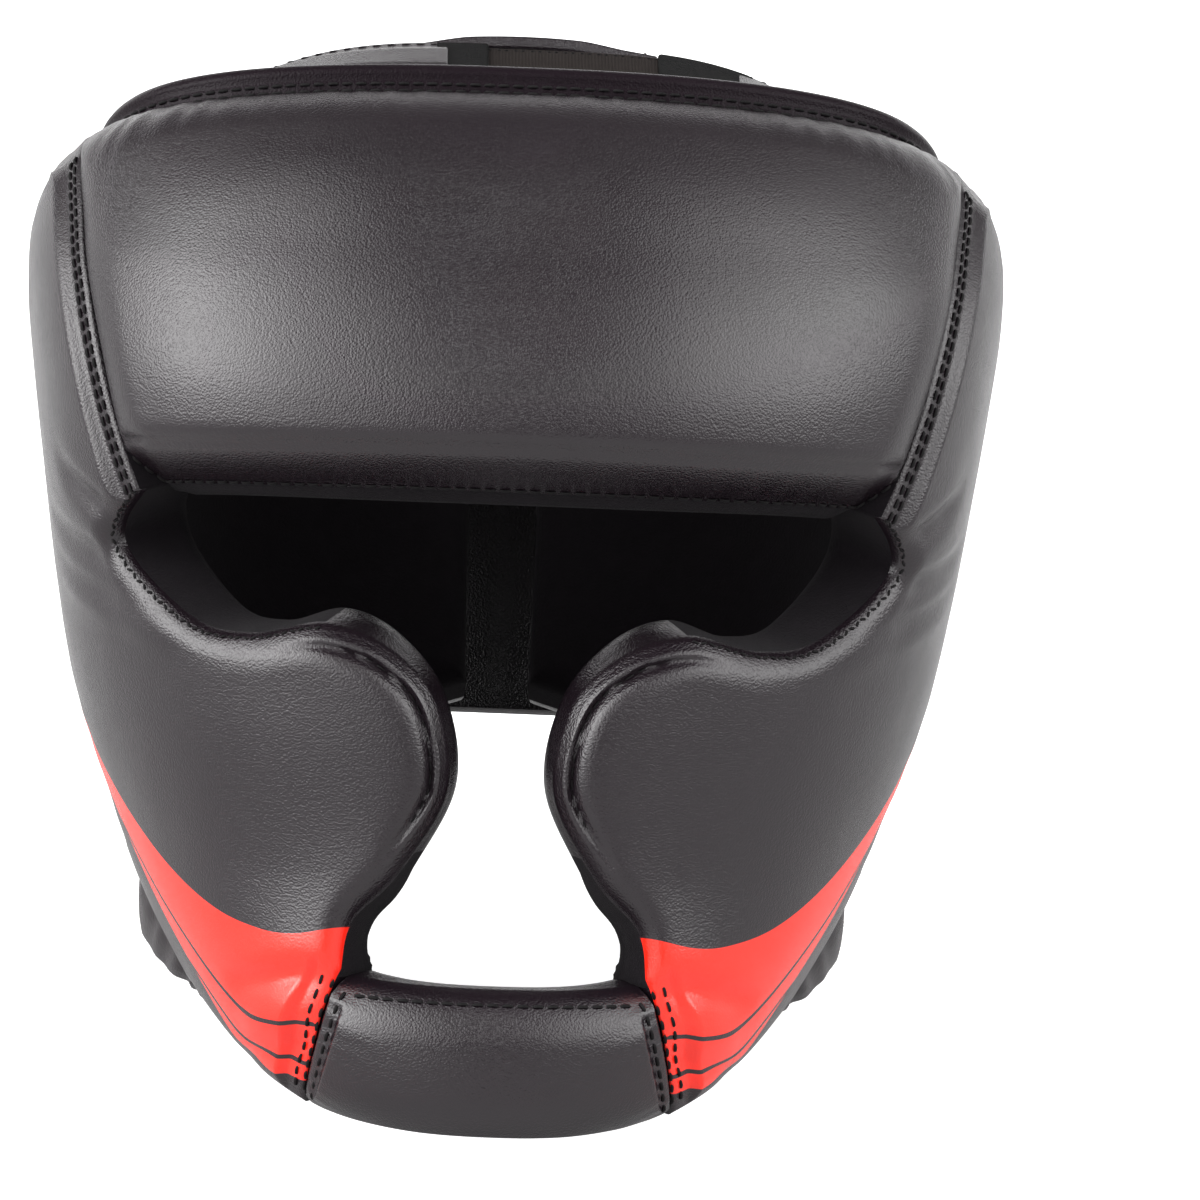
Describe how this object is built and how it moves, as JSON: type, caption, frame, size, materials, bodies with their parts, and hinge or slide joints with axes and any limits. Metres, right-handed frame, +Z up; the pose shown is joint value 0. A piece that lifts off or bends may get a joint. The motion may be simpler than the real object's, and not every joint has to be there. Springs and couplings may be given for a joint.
{
  "type": "mma headgear",
  "caption": "Full-face padded leather sparring headgear with cheek guards, chin bar, ear openings and adjustable crown straps.",
  "frame": {"origin": "middle of the standing headgear's box, on the floor", "axes": "+Z up, -Y the way the face looks, +X the wearer's left"},
  "size_m": [0.2292, 0.2572, 0.2275],
  "materials": {
    "leather": "black grained leather, semi-matt",
    "striped_leather": "black grained leather with a glossy red sweeping stripe",
    "lining": "black lining cloth",
    "hook_and_loop": "black hook-and-loop tape",
    "webbing": "grey-brown ribbed elastic webbing"
  },
  "bodies": {
    "root": {"forehead_pad": "leather", "side_panel_left": "striped_leather", "side_panel_right": "striped_leather", "ear_pad_left": "leather", "ear_pad_right": "leather", "chin_bar": "leather", "ear_binding_left": "lining", "ear_binding_right": "lining", "ear_strap_left": "leather", "ear_strap_right": "leather", "crown_rim": "leather", "crown_flap_left": "leather", "crown_flap_right": "leather", "crown_tab_left": "hook_and_loop", "crown_tab_right": "hook_and_loop", "crown_elastic": "webbing", "crown_flap_rear": "leather", "crown_tab_rear": "hook_and_loop", "nape_flap": "leather", "chin_strap": "leather"}
  },
  "joints": []
}
